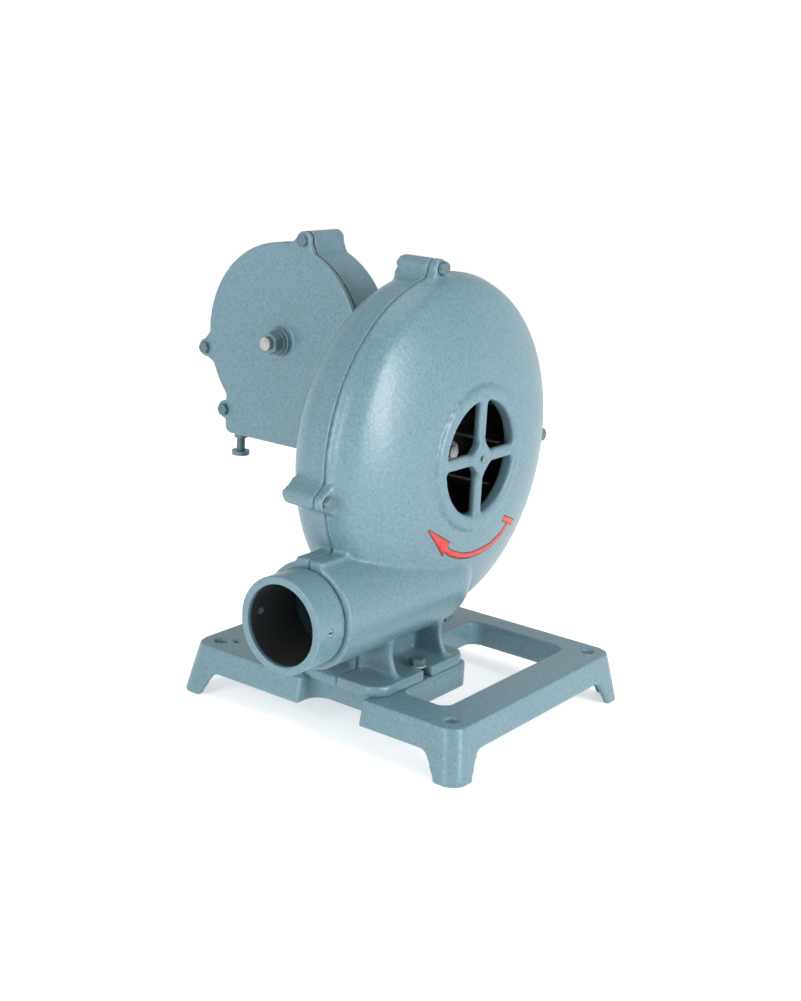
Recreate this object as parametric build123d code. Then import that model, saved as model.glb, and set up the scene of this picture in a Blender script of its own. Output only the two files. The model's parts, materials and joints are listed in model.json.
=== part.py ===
from build123d import *
import math
import os

# Hand crank forge blower. All sizes in millimetres, +Z up.
# X runs along the outlet (air leaves toward -X), Y along the fan shaft (inlet toward -Y).
# Shapes are drawn with the fan axis at x = 0 and the floor at z = 0. They are saved about the
# centre of the base bolt pattern, on the top face of the deck.

os.makedirs("parts", exist_ok=True)

# Base casting: a deck on a downturned skirt, with four splayed corner legs
base_width = 252.0
base_depth = 289.0
base_height = 46.0
base_x = -6.0
base_y = 3.0
skirt_depth = 23.0
base_wall = 6.0
base_corner_r = 14.0
leg_width_top = 27.0
leg_width_low = 23.0
leg_splay = 9.0
leg_arch_r = 11.0
bolt_inset = 17.0
base_hole_r = 6.0
small_hole_r = 3.5
small_hole_inset_x = 26.4
small_hole_inset_y = 28.5
side_rail = 25.6
front_rail = 36.0
window_rear_y = -3.0
window_corner_r = 11.0
notch_half_width = 33.0
notch_depth = 22.0
notch_corner_r = 14.0
platform_margin = 1.0

# Fan casing: two shells that meet on the plane y = seam_y
seam_y = -12.0
volute_clearance = 36.0
volute_shift_z = 1.0
volute_r = 153.0
front_depth = 46.0
dome_flat_r = 62.0
dome_rim_roll = 28.0
rear_depth = 50.0
rear_roll = 35.0
shell_wall = 5.0
seam_bead_height = 1.0
seam_bead_half = 3.5
inlet_r = 50.8
inlet_ring_width = 12.5
inlet_ring_height = 3.5
inlet_lip_depth = 9.0
spoke_width = 11.0
spoke_thickness = 7.0
guard_hub_half = 18.0
guard_hole_r = 3.0

# Outlet: a round duct tangent to the bottom of the casing, with a pipe nozzle in its mouth
outlet_rise = 38.3
duct_outer_r = 45.8
duct_wall = 7.8
duct_reach = 16.1
duct_end_x = -12.0
duct_pad_half = 14.0
duct_pad_height = 2.2
spigot_step = 3.0
nozzle_length = 33.2
nozzle_outer_r = 40.8
nozzle_bore_r = 34.0
nozzle_spigot = 28.0
set_screw_r = 3.2
set_screw_from_mouth = 16.0

# Casing lugs, evenly spaced round the seam
lug_angles = (97.0, 187.0, 277.0, -4.0)
lug_reach = 7.0
lug_r = 8.0
lug_flare = 5.0
lug_front = 9.0
lug_rear = 33.0
root_depth = 26.0
casing_bolt_r = 3.5
casing_bolt_tail = 4.0

# Foot under the casing
foot_x0 = -126.0
foot_x1 = 5.0
foot_half_width = 46.7
foot_thickness = 9.5
foot_corner_r = 18.0
foot_web = 6.0
fin_thickness = 6.0
fin_xs = (-93.0, -21.0)
fin_waist = 9.0
foot_bolt_x = -57.0
foot_bolt_from_seam = 34.0
foot_bolt_r = 4.0

# Gear case: round over the worm wheel, boxed below over the worm, cover toward -X
neck_length = 22.0
crank_from_neck = 89.5
case_r = 89.4
case_half = 24.4
case_wall = 6.0
case_depth = 156.0
case_below_shaft = 23.4
case_corner_r = 7.0
case_shoulder = 0.58
cover_thickness = 5.2
gasket_thickness = 0.8
cover_boss_r = 13.0
cover_boss_height = 6.0
case_boss_r = 19.0
case_boss_height = 16.0
case_lug_r = 8.5
case_lug_reach = 6.6
case_lug_angles = (103.0, -11.7, 182.0)
cover_screw_r = 3.0
bearing_boss_r = 15.0
bearing_boss_height = 5.0

side_lug_out = 1.5
side_lug_drop = 1.4
drain_r = 4.0
drain_x = -10.0
drain_inset = 8.0
drain_head_r = 8.5
drain_head = 4.0
drain_collar_r = 6.5
drain_stem = 17.0
drain_washer_thickness = 1.5
case_lug_bite = 7.0
case_lug_hole = 0.5
side_lug_depth = 7.5

# Neck between the fan casing and the gear case
neck_r = 27.0
neck_flange_r = 44.0
neck_flange_thickness = 8.0
neck_bolt_circle_r = 35.0
neck_bolt_r = 3.5

# Worm drive: two-start worm under a fifty-tooth wheel
module = 2.5
wheel_teeth = 50
worm_starts = 2
worm_pitch_r = 11.0
worm_length = 42.0
wheel_face = 14.0
wheel_hub_r = 18.0
wheel_hub_half = 15.5
wheel_web = 8.0
wheel_rim = 8.0
wheel_hole_count = 5
wheel_hole_r = 8.0
flank_gap = 0.28
pressure_angle = 20.0

# Shafts and bushes
fan_shaft_r = 7.0
fan_seat_r = 6.0
crank_shaft_r = 8.0
bush_wall = 3.5
running_gap = 0.05
loose_gap = 0.3
side_gap = 0.4
key_size = 5.0
front_bush_length = 20.0
rear_bush_length = 16.0
plug_slot = 1.5
fan_nut_flats = 18.0
crank_nut_flats = 18.0
crank_end_thread_r = 6.0
crank_end_tail = 5.0

# Fan wheel
fan_r = 118.0
fan_eye_r = 62.0
fan_front = 26.0
fan_plate_at = 28.0
sheet = 2.0
blade_count = 10
blade_tab = 12.0
hub_r = 17.0
hub_flange_r = 34.0
hub_flange = 3.0
hub_length = 36.0
rivet_r = 2.0
hub_rivet_count = 5

# Crank and grip
arm_hub_r = 18.0
arm_hub_x0 = 46.0
arm_hub_length = 24.0
arm_width = 26.0
arm_thickness = 10.0
arm_plane_x = 186.0
arm_bend_radius = 100.0
crank_radius = 200.0
arm_bend_fillet = 30.0
arm_eye_r = 15.0
arm_pin_r = 3.0
grip_thread_r = 5.0
grip_nut_flats = 16.0
grip_pin_r = 6.0
grip_r = 16.0
grip_length = 98.0

# Fasteners
washer_thickness = 1.6
m6_flats = 10.0
m7_flats = 11.0
m8_flats = 13.0
nut_to_thread = 1.6
head_to_thread = 1.3
hole_gap = 0.15

# Worked out from the sizes above
deck_z = base_height
volute_z = deck_z + volute_clearance + volute_r
fan_z = volute_z - volute_shift_z
outlet_z = deck_z + volute_clearance + outlet_rise
duct_mouth_x = -volute_r - duct_reach
wheel_pitch_r = module * wheel_teeth / 2
crank_z = fan_z + wheel_pitch_r + worm_pitch_r
case_bottom_z = fan_z - case_below_shaft
skirt_z = base_height - skirt_depth
plate_z = base_height - base_wall
front_face_y = seam_y - front_depth
rear_face_y = seam_y + rear_depth
case_front_y = rear_face_y + neck_length
case_rear_y = case_front_y + case_depth
crank_y = case_front_y + crank_from_neck
ring_face_y = front_face_y - inlet_ring_height
case_joint_x = -case_half + cover_thickness + gasket_thickness
cover_face_x = -case_half
lug_circle_r = volute_r + lug_reach
axial_pitch = math.pi * module
worm_lead = axial_pitch * worm_starts
foot_top_z = deck_z + foot_thickness
rear_bush_y = case_rear_y - case_wall - 8
fan_washer_y = seam_y + fan_plate_at + sheet - hub_length
far = 4 * base_depth
base_hole_x = base_width / 2 - bolt_inset
base_hole_y = base_depth / 2 - bolt_inset


def cyl_x(radius, x0, x1, y, z):
    return Pos((x0 + x1) / 2, y, z) * Rot(0, 90, 0) * Cylinder(radius, x1 - x0)


def cyl_y(radius, y0, y1, x, z):
    return Pos(x, (y0 + y1) / 2, z) * Rot(90, 0, 0) * Cylinder(radius, y1 - y0)


def cyl_z(radius, z0, z1, x, y):
    return Pos(x, y, (z0 + z1) / 2) * Cylinder(radius, z1 - z0)


def block(x0, x1, y0, y1, z0, z1):
    return Pos((x0 + x1) / 2, (y0 + y1) / 2, (z0 + z1) / 2) * Box(x1 - x0, y1 - y0, z1 - z0)


def hexagon(flats, length):
    return extrude(RegularPolygon(flats / 2, 6, major_radius=False), length)


def place(shape, at, toward):
    """Move a shape drawn from z = 0 along +Z so that it starts at a point and runs toward a direction."""
    return Plane(origin=at, z_dir=toward) * shape


def hex_bolt(flats, thread_r, grip, tail):
    """Hex bolt with its seat at z = 0, its head above and its shank below."""
    head_height = head_to_thread * thread_r
    head = hexagon(flats, head_height)
    head = head & Pos(0, 0, head_height / 2) * Cylinder(flats * 0.56, head_height)
    return head + cyl_z(thread_r, -grip - tail, 0, 0, 0)


def hex_nut(flats, thread_r):
    """Hex nut seated at z = 0, rising along +Z."""
    height = nut_to_thread * thread_r
    return hexagon(flats, height) - cyl_z(thread_r + hole_gap, -1, height + 1, 0, 0)


def washer(thread_r):
    return cyl_z(thread_r * 2.1, 0, washer_thickness, 0, 0) - cyl_z(thread_r + hole_gap, -1, 3, 0, 0)


def about_origin(shape):
    return Pos(-base_x, -base_y, -deck_z) * shape


def save(node, shape):
    export_step(about_origin(shape), f"parts/{node}.step")


def save_group(node, shapes):
    solids = [about_origin(shape.solids()[0]) for shape in shapes]
    export_step(Compound(children=solids), f"parts/{node}.step")


# ---------------------------------------------------------------- base
def window_outline(inset):
    """The L-shaped gap in the deck, in front of and beside the platform that carries the foot."""
    x0 = base_x - base_width / 2 + front_rail - inset
    x1 = base_x + base_width / 2 - side_rail + inset
    y0 = base_y - base_depth / 2 + front_rail - inset
    y1 = window_rear_y + inset
    step_x = foot_x1 + platform_margin - inset
    step_y = seam_y - foot_half_width - platform_margin + inset
    corners = [(x0, y0), (x1, y0), (x1, y1), (step_x, y1), (step_x, step_y), (x0, step_y)]
    face = make_face(Polyline(*corners, close=True))
    return fillet(face.vertices(), window_corner_r)


def notch_outline(inset):
    """The gap in the deck's edge under the outlet."""
    gap = RectangleRounded(2 * (notch_depth + inset), 2 * (notch_half_width + inset), notch_corner_r)
    return Pos(base_x - base_width / 2, seam_y) * gap


def base_block(inset, top_z):
    """Rounded block that widens from the deck down to the floor."""
    width = base_width - 2 * inset
    depth = base_depth - 2 * inset
    flare = 2 * leg_splay
    corner_r = base_corner_r - inset
    top = Pos(base_x, base_y, deck_z) * RectangleRounded(width, depth, corner_r)
    low = Pos(base_x, base_y, 0) * RectangleRounded(width + flare, depth + flare, corner_r)
    return loft([low, top]) & block(-far, far, -far, far, 0, top_z)


def make_base():
    """Deck on a flared skirt, open underneath, with walls round its gaps and a leg at each corner."""
    base = base_block(0, deck_z)
    walls = Pos(0, 0, skirt_z) * extrude(window_outline(base_wall) + notch_outline(base_wall), skirt_depth)
    walls = walls & base
    base = base - base_block(base_wall, plate_z) + walls
    base = base - Pos(0, 0, -1) * extrude(window_outline(0) + notch_outline(0), deck_z + 2)
    arch_y = Rot(90, 0, 0) * extrude(arch(base_width), far)
    arch_x = Rot(0, 0, 90) * Rot(90, 0, 0) * extrude(arch(base_depth), far)
    base = base - Pos(base_x, far / 2, 0) * arch_y - Pos(-far / 2, base_y, 0) * arch_x
    for sx in (-1, 1):
        for sy in (-1, 1):
            x = base_x + sx * base_hole_x
            y = base_y + sy * base_hole_y
            base = base - cyl_z(base_hole_r, skirt_z, deck_z + 1, x, y)
    small_x = base_x - base_width / 2 + small_hole_inset_x
    small_y = base_y + base_depth / 2 - small_hole_inset_y
    base = base - cyl_z(small_hole_r, skirt_z, deck_z + 1, small_x, small_y)
    for side in (-1, 1):
        y = seam_y + side * foot_bolt_from_seam
        base = base - cyl_z(foot_bolt_r + hole_gap, plate_z - 1, deck_z + 1, foot_bolt_x, y)
    return base


def arch(side):
    """Gap between two legs, wider at the floor, its upper corners rounded."""
    top = side / 2 - leg_width_top
    low = side / 2 + leg_splay - leg_width_low
    face = make_face(Polyline((-low, -1), (low, -1), (top, skirt_z), (-top, skirt_z), close=True))
    return fillet(face.vertices().sort_by(Axis.Y)[2:], leg_arch_r)


# ---------------------------------------------------------------- fan casing
def dome_profile(inset):
    """Half section of the front shell: flat round the inlet, then domed over in two tangent arcs."""
    run = volute_r - dome_flat_r
    crown = (run**2 + front_depth**2 - 2 * run * dome_rim_roll) / (2 * (front_depth - dome_rim_roll))
    crown_centre = Vector(dome_flat_r, crown - front_depth)
    rim_centre = Vector(volute_r - dome_rim_roll, 0)
    across = (rim_centre - crown_centre).normalized()
    turn = math.degrees(math.atan2(across.Y, across.X))
    face_y = inset - front_depth
    crown_r = crown - inset
    rim_r = dome_rim_roll - inset
    meet = crown_centre + across * crown_r
    path = Polyline((0, 0), (0, face_y), (dome_flat_r, face_y))
    path += ThreePointArc((dome_flat_r, face_y), on_circle(crown_centre, crown_r, (turn - 90) / 2), meet)
    path += ThreePointArc(meet, on_circle(rim_centre, rim_r, turn / 2), (volute_r - inset, 0))
    path += Line((volute_r - inset, 0), (0, 0))
    return make_face(path)


def on_circle(centre, radius, degrees):
    angle = math.radians(degrees)
    return centre + Vector(radius * math.cos(angle), radius * math.sin(angle))


def drum_profile(inset):
    """Half section of the rear shell: flat back, rolled edge and a straight wall to the seam."""
    back_y = inset - rear_depth
    wall_y = rear_roll - rear_depth
    path = Polyline((0, 0), (0, back_y), (volute_r - rear_roll, back_y))
    path += CenterArc((volute_r - rear_roll, wall_y), rear_roll - inset, -90, 90)
    path += Polyline((volute_r - inset, wall_y), (volute_r - inset, 0), (0, 0))
    return make_face(path)


def volute_body(profile):
    return Pos(0, seam_y, volute_z) * revolve(profile, Axis.Y)


def front_side():
    """Half space in front of the seam plane, as a large block."""
    return block(-far, far, seam_y - far, seam_y, 0, far)


def lug_points():
    points = []
    for degrees in lug_angles:
        angle = math.radians(degrees)
        points.append((lug_circle_r * math.cos(angle), volute_z + lug_circle_r * math.sin(angle)))
    return points


def lug_face(radius, reach):
    """Rounded ear, its screw at the origin, flaring toward -X into the body that carries it."""
    inward = reach + root_depth
    flare = Polyline((0, radius), (-reach, radius + lug_flare), (-inward, radius + lug_flare),
                     (-inward, -radius - lug_flare), (-reach, -radius - lug_flare), (0, -radius), close=True)
    return Circle(radius) + make_face(flare)


def lug(depth, x, z):
    """Ear for one casing bolt, running back into the rolled edge."""
    outward = (x, 0, z - volute_z)
    plane = Plane(origin=(x, seam_y, z), x_dir=outward, z_dir=(0, -1, 0))
    return extrude(plane * lug_face(lug_r, lug_reach), depth)


def fin(x, reach):
    """Upright rib from the foot to the duct, its free edge curved inward."""
    low = (seam_y - reach, foot_top_z)
    high = (seam_y - duct_outer_r + 1.5, outlet_z - 12)
    waist = (seam_y - reach + fin_waist, (foot_top_z + outlet_z) / 2 - 8)
    path = Polyline(high, (seam_y, outlet_z), (seam_y, foot_top_z - 1), (low[0], foot_top_z - 1), low)
    path += ThreePointArc(low, waist, high)
    face = Plane(origin=(x - fin_thickness / 2, 0, 0), x_dir=(0, 1, 0), z_dir=(1, 0, 0)) * make_face(path)
    return extrude(face, fin_thickness)


def foot_half():
    """Front half of the foot: pad, centre web and ribs."""
    length = foot_x1 - foot_x0
    pad = Pos((foot_x0 + foot_x1) / 2, seam_y) * RectangleRounded(length, 2 * foot_half_width, foot_corner_r)
    pad = Pos(0, 0, deck_z) * extrude(pad, foot_thickness)
    slot = cyl_z(foot_bolt_r + 1.5, deck_z - 1, foot_top_z + 1, foot_bolt_x, seam_y - foot_bolt_from_seam)
    slot += block(foot_bolt_x - foot_bolt_r - 1.5, foot_bolt_x + foot_bolt_r + 1.5, seam_y - foot_half_width - 1,
                  seam_y - foot_bolt_from_seam, deck_z - 1, foot_top_z + 1)
    pad = pad - slot
    web = block(fin_xs[0] - fin_thickness, fin_xs[1] + fin_thickness, seam_y - foot_web, seam_y,
                foot_top_z - 1, outlet_z)
    foot = pad + web
    for x in fin_xs:
        foot = foot + fin(x, foot_half_width - 5)
    return foot & front_side()


def duct_round(radius, mouth_x):
    duct = cyl_x(radius, mouth_x, duct_end_x, seam_y, outlet_z)
    return duct + Pos(duct_end_x, seam_y, outlet_z) * Sphere(radius)


def cavity(profile):
    duct = duct_round(duct_outer_r - duct_wall, duct_mouth_x - 1)
    return volute_body(profile) + (duct & front_side())


def casing_half(outer, inner, lug_depth):
    """One casing half, drawn on the front side of the seam."""
    half = volute_body(outer)
    bead = Cylinder(volute_r + seam_bead_height, seam_bead_half)
    half = half + Pos(0, seam_y - seam_bead_half / 2, volute_z) * Rot(90, 0, 0) * bead
    pad_z = outlet_z + duct_outer_r + duct_pad_height
    half = half + block(duct_mouth_x, -volute_r / 2, seam_y - duct_pad_half, seam_y, outlet_z, pad_z)
    half = half + (duct_round(duct_outer_r, duct_mouth_x) & front_side())
    half = half + foot_half()
    for x, z in lug_points():
        half = half + lug(lug_depth, x, z)
    half = half - cavity(inner)
    spigot_r = nozzle_outer_r - spigot_step + hole_gap
    half = half - cyl_x(spigot_r, duct_mouth_x - 1, duct_mouth_x + nozzle_spigot, seam_y, outlet_z)
    for x, z in lug_points():
        half = half - cyl_y(casing_bolt_r + hole_gap, seam_y - lug_depth - 1, seam_y + 1, x, z)
    return half


def make_housing_front():
    shell = casing_half(dome_profile(0), dome_profile(shell_wall), lug_front)
    ring_r = inlet_r + inlet_ring_width
    shell = shell + cyl_y(ring_r, ring_face_y, front_face_y + shell_wall, 0, fan_z)
    shell = shell + cyl_y(inlet_r + shell_wall, front_face_y, front_face_y + inlet_lip_depth, 0, fan_z)
    shell = shell - cyl_y(inlet_r, ring_face_y - 1, front_face_y + inlet_lip_depth + 1, 0, fan_z)
    groove = cyl_y(ring_r + 2.5, front_face_y - 1, front_face_y + 1.2, 0, fan_z)
    groove = groove - cyl_y(ring_r, front_face_y - 2, front_face_y + 2, 0, fan_z)
    shell = shell - groove
    guard_y0 = ring_face_y + 1.0
    guard_y1 = guard_y0 + spoke_thickness
    reach = inlet_r + 1.5
    guard = block(-reach, reach, guard_y0, guard_y1, fan_z - spoke_width / 2, fan_z + spoke_width / 2)
    guard += block(-spoke_width / 2, spoke_width / 2, guard_y0, guard_y1, fan_z - reach, fan_z + reach)
    hub = Box(guard_hub_half * math.sqrt(2), spoke_thickness + 2, guard_hub_half * math.sqrt(2))
    guard += Pos(0, guard_y0 + spoke_thickness / 2 - 1, fan_z) * Rot(0, 45, 0) * hub
    guard = guard - cyl_y(guard_hole_r, guard_y0 - 3, guard_y1 + 3, 0, fan_z)
    return shell + guard


def make_housing_rear():
    shell = casing_half(drum_profile(0), drum_profile(shell_wall), lug_rear)
    shell = mirror(shell, Plane(origin=(0, seam_y, 0), z_dir=(0, 1, 0)))
    flange_y = case_front_y - neck_flange_thickness
    shell = shell + cyl_y(neck_r, rear_face_y - shell_wall, case_front_y, 0, fan_z)
    shell = shell + cyl_y(neck_flange_r, flange_y, case_front_y, 0, fan_z)
    for x, z in neck_bolt_points():
        shell = shell - cyl_y(neck_bolt_r + hole_gap, flange_y - 1, case_front_y + 1, x, z)
    shell = shell - cyl_y(fan_shaft_r + bush_wall + hole_gap, rear_face_y - shell_wall - 1, case_front_y + 1, 0, fan_z)
    return shell


def make_nozzle():
    mouth_x = duct_mouth_x - nozzle_length
    nozzle = cyl_x(nozzle_outer_r, mouth_x, duct_mouth_x, seam_y, outlet_z)
    nozzle += cyl_x(nozzle_outer_r - spigot_step, duct_mouth_x, duct_mouth_x + nozzle_spigot, seam_y, outlet_z)
    nozzle = nozzle - cyl_x(nozzle_bore_r, mouth_x - 1, duct_mouth_x + nozzle_spigot + 1, seam_y, outlet_z)
    screw_x = mouth_x + set_screw_from_mouth
    nozzle = nozzle - cyl_y(set_screw_r, seam_y - nozzle_outer_r - 1, seam_y + nozzle_outer_r + 1, screw_x, outlet_z)
    return nozzle


# ---------------------------------------------------------------- gear case
def case_outline(inset):
    """Wheel circle joined to the worm box, drawn in the YZ plane as (y, z)."""
    wheel_room = Pos(crank_y, crank_z) * Circle(case_r - inset)
    width = case_rear_y - case_front_y - 2 * inset
    height = crank_z - case_bottom_z - inset
    box = Rectangle(width, height)
    box = Pos((case_front_y + case_rear_y) / 2, case_bottom_z + inset + height / 2) * box
    low = box.vertices().sort_by(Axis.Y)[:2]
    box = fillet(low, case_corner_r - inset)
    trim = crank_z - case_r * case_shoulder
    box = box & (Pos(crank_y, trim - height) * Rectangle(3 * width, 2 * height))
    return wheel_room + box


def case_slab(inset, x0, x1):
    face = Plane(origin=(x0, 0, 0), x_dir=(0, 1, 0), z_dir=(1, 0, 0)) * case_outline(inset)
    return extrude(face, x1 - x0)


def case_lugs():
    """Place of each cover screw and the way its ear points: round the wheel, beside the box and below it."""
    lugs = []
    for degrees in case_lug_angles:
        angle = math.radians(degrees)
        reach = case_r + case_lug_reach
        out = (0, math.cos(angle), math.sin(angle))
        lugs.append((crank_y + reach * out[1], crank_z + reach * out[2], out))
    lugs.append((case_rear_y + side_lug_out, fan_z - side_lug_drop, (0, 1, 0)))
    lugs.append((case_front_y + 3 * case_lug_r, case_bottom_z - case_lug_reach / 2, (0, 0, -1)))
    return lugs


def case_lug_points():
    return [(y, z) for y, z, out in case_lugs()]


def case_ears(x0, x1):
    """Ears for the cover screws, running along X and flaring into the case."""
    room = block(x0 - 1, x1 + 1, case_front_y - case_wall, far, 0, far)
    ears = []
    for y, z, out in case_lugs():
        plane = Plane(origin=(x0, y, z), x_dir=out, z_dir=(1, 0, 0))
        depth = min(x1 - x0, side_lug_depth) if y > case_rear_y and z < crank_z - case_r / 2 else x1 - x0
        ears.append(extrude(plane * lug_face(case_lug_r, case_lug_reach), depth) & room)
    return ears


def neck_bolt_points():
    return [(-neck_bolt_circle_r, fan_z), (neck_bolt_circle_r, fan_z), (0, fan_z - neck_bolt_circle_r)]


def make_gear_case():
    case = case_slab(0, case_joint_x, case_half)
    case = case + case_ears(case_joint_x, case_half)
    case = case + cyl_x(case_boss_r, case_half - 1, case_half + case_boss_height, crank_y, crank_z)
    case = case + cyl_y(bearing_boss_r, case_rear_y - 1, case_rear_y + bearing_boss_height, 0, fan_z)
    case = case + cyl_y(neck_flange_r, case_front_y, case_front_y + neck_flange_thickness, 0, fan_z)
    case = case - case_slab(case_wall, case_joint_x - 1, case_half - case_wall)
    case = case + cyl_y(bearing_boss_r, case_rear_y - case_wall - 8, case_rear_y, 0, fan_z)
    case = case - block(-far, case_joint_x, case_front_y + neck_flange_thickness, far, 0, far)
    seal_r = fan_shaft_r + bush_wall + 3
    case = case - cyl_y(seal_r + hole_gap, case_front_y - 1, case_front_y + neck_flange_thickness + 1, 0, fan_z)
    case = case - cyl_y(fan_shaft_r + bush_wall + hole_gap, case_rear_y - 30, case_rear_y + far, 0, fan_z)
    case = case - cyl_x(crank_shaft_r + bush_wall + hole_gap, 0, far, crank_y, crank_z)
    for x, z in neck_bolt_points():
        case = case - cyl_y(neck_bolt_r + hole_gap, case_front_y - 1, case_front_y + 20, x, z)
    for y, z in case_lug_points():
        case = case - cyl_x(cover_screw_r + hole_gap, case_joint_x - 1, case_joint_x + case_lug_bite + case_lug_hole, y, z)
    case = case - cyl_z(drain_r + hole_gap, 0, case_bottom_z + case_wall + 1, drain_x, drain_y())
    return case


def drain_y():
    return case_rear_y - drain_inset


def cover_plate(x0, x1, boss):
    plate = case_slab(0, x0, x1)
    plate = plate + case_ears(x0, x1)
    if boss:
        plate = plate + cyl_x(cover_boss_r, x0 - cover_boss_height, x1, crank_y, crank_z)
    for y, z in case_lug_points():
        plate = plate - cyl_x(cover_screw_r + hole_gap, x0 - 1, x1 + 1, y, z)
    flange_end = case_front_y + neck_flange_thickness
    return plate - cyl_y(neck_flange_r + loose_gap, case_front_y - 1, flange_end + loose_gap, 0, fan_z)


def make_gear_cover():
    cover = cover_plate(cover_face_x, cover_face_x + cover_thickness, True)
    return cover - cyl_x(crank_shaft_r + bush_wall + hole_gap, -far, 0, crank_y, crank_z)


def make_cover_gasket():
    x0 = cover_face_x + cover_thickness
    return cover_plate(x0, x0 + gasket_thickness, False) - case_slab(case_wall, x0 - 1, x0 + 2)


# ---------------------------------------------------------------- bushes, seal and fasteners of the frame
def bush(outer_r, inner_r, length):
    return cyl_z(outer_r, 0, length, 0, 0) - cyl_z(inner_r, -1, length + 1, 0, 0)


def make_fan_bushes():
    outer = fan_shaft_r + bush_wall
    inner = fan_shaft_r + running_gap
    front = place(bush(outer, inner, front_bush_length), (0, case_front_y - 1 - front_bush_length, fan_z), (0, 1, 0))
    rear = place(bush(outer, inner, rear_bush_length), (0, rear_bush_y, fan_z), (0, 1, 0))
    return front, rear


def make_shaft_seal():
    outer = fan_shaft_r + bush_wall + 3
    return cyl_y(outer, case_front_y, case_front_y + 7, 0, fan_z) - cyl_y(
        fan_shaft_r + running_gap, case_front_y - 1, case_front_y + 9, 0, fan_z)


def make_thrust_plug():
    """Slotted plug that closes the rear boss and takes the thrust of the worm."""
    end_y = case_rear_y + bearing_boss_height
    plug = cyl_y(fan_shaft_r + bush_wall, rear_bush_y + rear_bush_length, end_y, 0, fan_z)
    return plug - block(-far, far, end_y - plug_slot, end_y + 1, fan_z - plug_slot / 2, fan_z + plug_slot / 2)


def make_crank_bushes():
    outer = crank_shaft_r + bush_wall
    inner = crank_shaft_r + running_gap
    cover_x = cover_face_x - cover_boss_height
    case_x = case_half - case_wall
    cover_side = place(bush(outer, inner, cover_boss_height + cover_thickness), (cover_x, crank_y, crank_z), (1, 0, 0))
    case_side = place(bush(outer, inner, case_wall + case_boss_height), (case_x, crank_y, crank_z), (1, 0, 0))
    return cover_side, case_side


def make_casing_bolts():
    bolts = []
    for x, z in lug_points():
        bolt = hex_bolt(m7_flats, casing_bolt_r, lug_front + lug_rear, casing_bolt_tail)
        bolts.append(place(bolt, (x, seam_y - lug_front, z), (0, -1, 0)))
    return bolts


def make_neck_bolts():
    bolts = []
    nuts = []
    stack = 2 * neck_flange_thickness
    for x, z in neck_bolt_points():
        bolt = hex_bolt(m7_flats, neck_bolt_r, stack, 7)
        bolts.append(place(bolt, (x, case_front_y + neck_flange_thickness, z), (0, 1, 0)))
        nuts.append(place(hex_nut(m7_flats, neck_bolt_r), (x, case_front_y - neck_flange_thickness, z), (0, -1, 0)))
    return bolts, nuts


def make_foot_fasteners():
    bolts = []
    washers = []
    nuts = []
    stack = washer_thickness + foot_thickness + base_wall
    for side in (-1, 1):
        y = seam_y + side * foot_bolt_from_seam
        bolt = hex_bolt(m8_flats, foot_bolt_r, stack, 9)
        bolts.append(place(bolt, (foot_bolt_x, y, foot_top_z + washer_thickness), (0, 0, 1)))
        washers.append(place(washer(foot_bolt_r), (foot_bolt_x, y, foot_top_z), (0, 0, 1)))
        nuts.append(place(hex_nut(m8_flats, foot_bolt_r), (foot_bolt_x, y, plate_z), (0, 0, -1)))
    return bolts, washers, nuts


def make_cover_screws():
    screws = []
    for y, z in case_lug_points():
        grip = cover_thickness + gasket_thickness + case_lug_bite
        screw = hex_bolt(m6_flats, cover_screw_r, grip, 0)
        screws.append(place(screw, (cover_face_x, y, z), (-1, 0, 0)))
    return screws


def make_drain():
    """Drain plug screwed up into the floor of the gear case, on a fibre washer."""
    y = drain_y()
    low = case_bottom_z - drain_washer_thickness
    head_top = low - drain_stem
    plug = cyl_z(drain_r, head_top, case_bottom_z + case_wall - 1, drain_x, y)
    plug += cyl_z(drain_collar_r, low - drain_head, low, drain_x, y)
    plug += cyl_z(drain_head_r, head_top - drain_head, head_top, drain_x, y)
    ring = cyl_z(drain_collar_r, low, case_bottom_z, drain_x, y)
    return plug, ring - cyl_z(drain_r + hole_gap, low - 1, case_bottom_z + 1, drain_x, y)


def make_set_screws():
    screw_x = duct_mouth_x - nozzle_length + set_screw_from_mouth
    screws = []
    for side in (-1, 1):
        inner = seam_y + side * (nozzle_bore_r + 1.0)
        outer = seam_y + side * (nozzle_bore_r + 5.5)
        screw = cyl_y(set_screw_r - hole_gap, min(inner, outer), max(inner, outer), screw_x, outlet_z)
        slot = block(screw_x - 2, screw_x + 2, outer - 1.2, outer + 1.2, outlet_z - 0.6, outlet_z + 0.6)
        screws.append(screw - slot)
    return screws


# ---------------------------------------------------------------- worm drive
def worm_section():
    """Cross-section of the worm: one lobe for each start, standing on the root circle."""
    tan = math.tan(math.radians(pressure_angle))
    tip_r = worm_pitch_r + module
    root_r = worm_pitch_r - 1.25 * module
    turn = 2 * math.pi / worm_lead
    quarter = axial_pitch / 4 - flank_gap / 2
    spread = [(r, turn * (quarter - (r - worm_pitch_r) * tan)) for r in (root_r, worm_pitch_r, tip_r)]
    lobe = None
    for k in range(worm_starts):
        mid = 2 * math.pi * (k + 0.5) / worm_starts
        rise = [polar(r, mid - a) for r, a in spread]
        fall = [polar(r, mid + a) for r, a in reversed(spread)]
        edges = ThreePointArc(*rise) + ThreePointArc(rise[-1], polar(tip_r, mid), fall[0])
        edges += ThreePointArc(*fall) + Line(fall[-1], (0, 0)) + Line((0, 0), rise[0])
        face = make_face(edges)
        lobe = face if lobe is None else lobe + face
    return lobe + Circle(root_r)


def polar(radius, angle):
    return (radius * math.cos(angle), radius * math.sin(angle))


def twisted(face, length, degrees):
    return Solid.extrude_linear_with_rotation(face, center=(0, 0, 0), normal=(0, 0, length), angle=degrees)


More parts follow.
